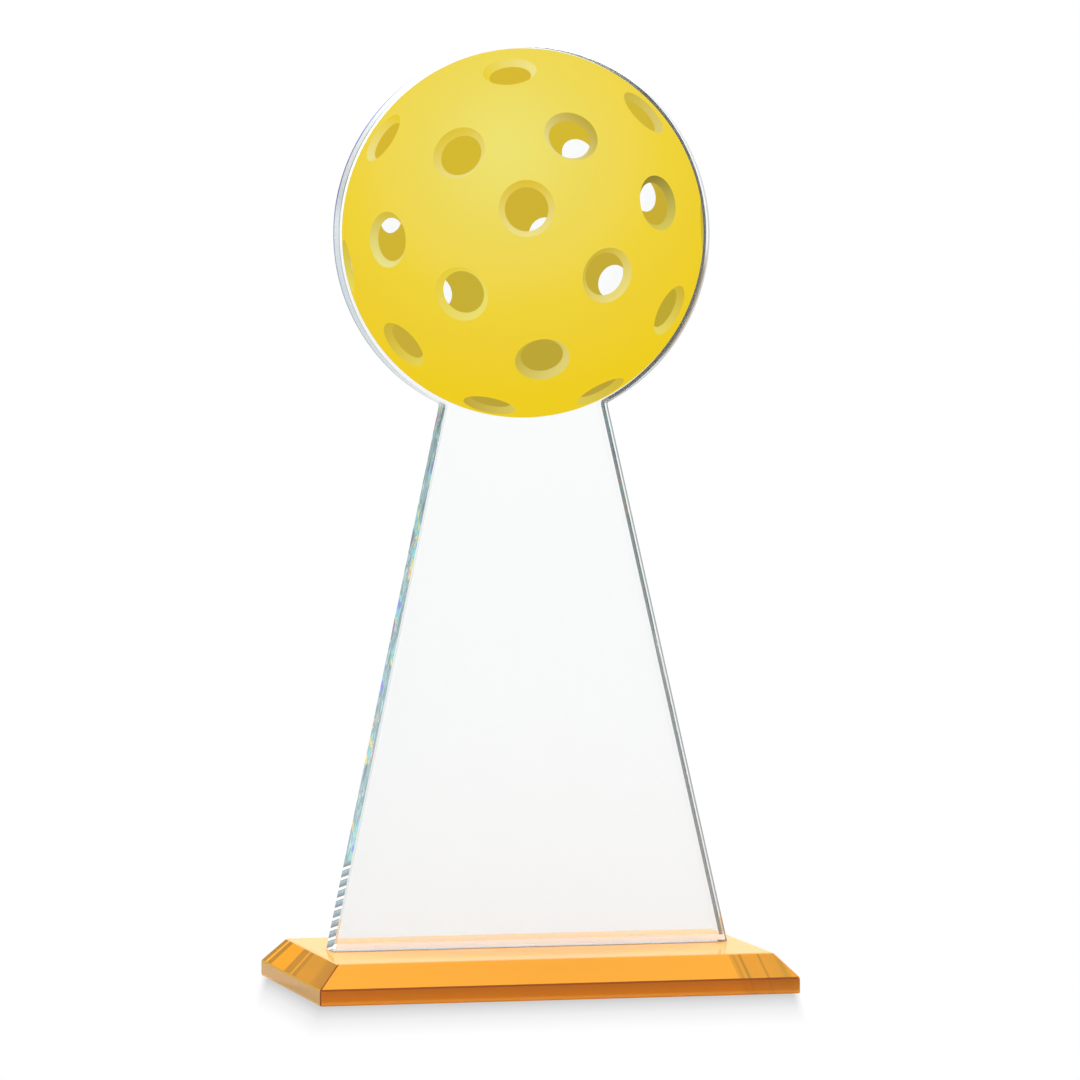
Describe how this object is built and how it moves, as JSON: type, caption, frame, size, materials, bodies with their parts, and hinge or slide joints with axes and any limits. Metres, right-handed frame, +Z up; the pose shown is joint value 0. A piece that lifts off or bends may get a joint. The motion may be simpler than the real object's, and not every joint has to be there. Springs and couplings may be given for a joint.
{
  "type": "glass award with a printed pickleball",
  "caption": "Upright clear glass plate with a flat full-colour printed ball on its round head, bonded on edge to a bevelled amber glass base.",
  "frame": {"origin": "middle of the underside of the base, which rests on the table", "axes": "+Z up; +X to the right as the printed face is looked at; the printed face looks along -Y"},
  "size_m": [0.1566, 0.108, 0.3048],
  "materials": {
    "clear_glass": "polished low-iron glass, clear, edges ground and polished with a fine chamfer",
    "amber_glass": "polished amber glass, body-coloured, darker where it is looked through lengthways",
    "cured_adhesive": "clear light-cured adhesive film",
    "white_ink": "cured white printing ink, satin",
    "ball_yellow_ink": "cured printing ink, satin, yellow shaded from pale at upper left to deep at lower right",
    "hole_rim_ink": "cured printing ink, satin, ochre shaded to pale yellow across each hole's bevel",
    "hole_recess_ink": "cured printing ink, satin, dark ochre"
  },
  "bodies": {
    "root": {"amber_base": "amber_glass", "bond_film": "cured_adhesive", "hole_01_recess": "hole_recess_ink", "hole_01_rim": "hole_rim_ink", "hole_02_recess": "hole_recess_ink", "hole_02_rim": "hole_rim_ink", "hole_03_recess": "hole_recess_ink", "hole_03_rim": "hole_rim_ink", "hole_04_recess": "hole_recess_ink", "hole_04_rim": "hole_rim_ink", "hole_05_recess": "hole_recess_ink", "hole_05_rim": "hole_rim_ink", "hole_06_recess": "hole_recess_ink", "hole_06_rim": "hole_rim_ink", "hole_07_recess": "hole_recess_ink", "hole_07_rim": "hole_rim_ink", "hole_08_recess": "hole_recess_ink", "hole_08_rim": "hole_rim_ink", "hole_09_recess": "hole_recess_ink", "hole_09_rim": "hole_rim_ink", "hole_10_recess": "hole_recess_ink", "hole_10_rim": "hole_rim_ink", "hole_11_recess": "hole_recess_ink", "hole_11_rim": "hole_rim_ink", "hole_12_recess": "hole_recess_ink", "hole_12_rim": "hole_rim_ink", "hole_13_recess": "hole_recess_ink", "hole_13_rim": "hole_rim_ink", "hole_14_recess": "hole_recess_ink", "hole_14_rim": "hole_rim_ink", "hole_15_recess": "hole_recess_ink", "hole_15_rim": "hole_rim_ink", "hole_16_rim": "hole_rim_ink", "hole_17_rim": "hole_rim_ink", "print_white_coat": "white_ink", "print_yellow_coat": "ball_yellow_ink", "upright_plate": "clear_glass"}
  },
  "joints": []
}
